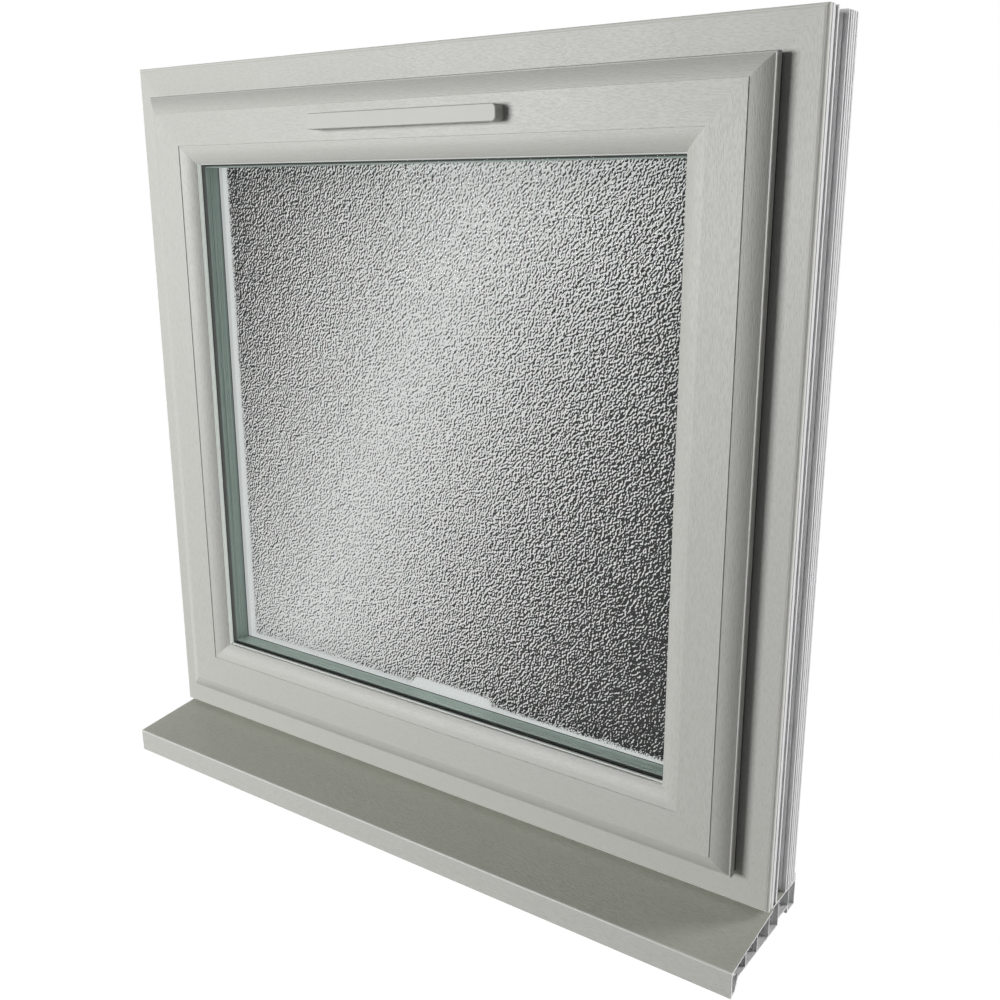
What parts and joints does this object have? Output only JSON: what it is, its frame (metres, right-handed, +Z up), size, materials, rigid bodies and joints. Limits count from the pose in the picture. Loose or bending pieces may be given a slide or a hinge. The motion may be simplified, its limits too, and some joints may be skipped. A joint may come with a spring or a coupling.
{
  "type": "top-hung window",
  "caption": "Square top-hung casement window with moulded grey foiled sash, obscure sealed glass unit, slim vent hood and a projecting hollow cill.",
  "frame": {"origin": "mid width, on the outer face plane of the frame, at the flat underside of the cill", "axes": "+X to the right seen from outside, +Y from outside into the room, +Z up"},
  "size_m": [0.87, 0.172, 0.8853],
  "materials": {
    "grey_foiled_pvc": "satin",
    "grey_foiled_cill": "satin",
    "white_pvc": "satin",
    "clear_glass": "polished",
    "obscure_glass": "textured",
    "spacer_aluminium": "mill",
    "black_sealant": "matt",
    "black_gasket": "matt",
    "grey_gasket": "matt",
    "grey_vent_plastic": "satin",
    "white_vent_plastic": "satin",
    "white_handle_metal": "gloss powder coat",
    "lock_steel": "brushed"
  },
  "bodies": {
    "root": {"frame_head": "grey_foiled_pvc", "frame_bottom_rail": "grey_foiled_pvc", "frame_jamb_left": "grey_foiled_pvc", "frame_jamb_right": "grey_foiled_pvc", "sash_top_rail": "grey_foiled_pvc", "sash_bottom_rail": "grey_foiled_pvc", "sash_stile_left": "grey_foiled_pvc", "sash_stile_right": "grey_foiled_pvc", "bead_top": "white_pvc", "bead_bottom": "white_pvc", "bead_left": "white_pvc", "bead_right": "white_pvc", "glass_outer": "clear_glass", "glass_inner": "obscure_glass", "spacer_bar": "spacer_aluminium", "edge_seal": "black_sealant", "weather_gasket": "black_gasket", "inner_gasket": "black_gasket", "glazing_gasket": "grey_gasket", "bead_gasket": "grey_gasket", "cill": "grey_foiled_cill", "vent_hood": "grey_vent_plastic", "vent_body": "white_vent_plastic", "vent_flap": "white_vent_plastic", "handle_base": "white_handle_metal", "handle_lever": "white_handle_metal", "handle_lock": "lock_steel"}
  },
  "joints": []
}
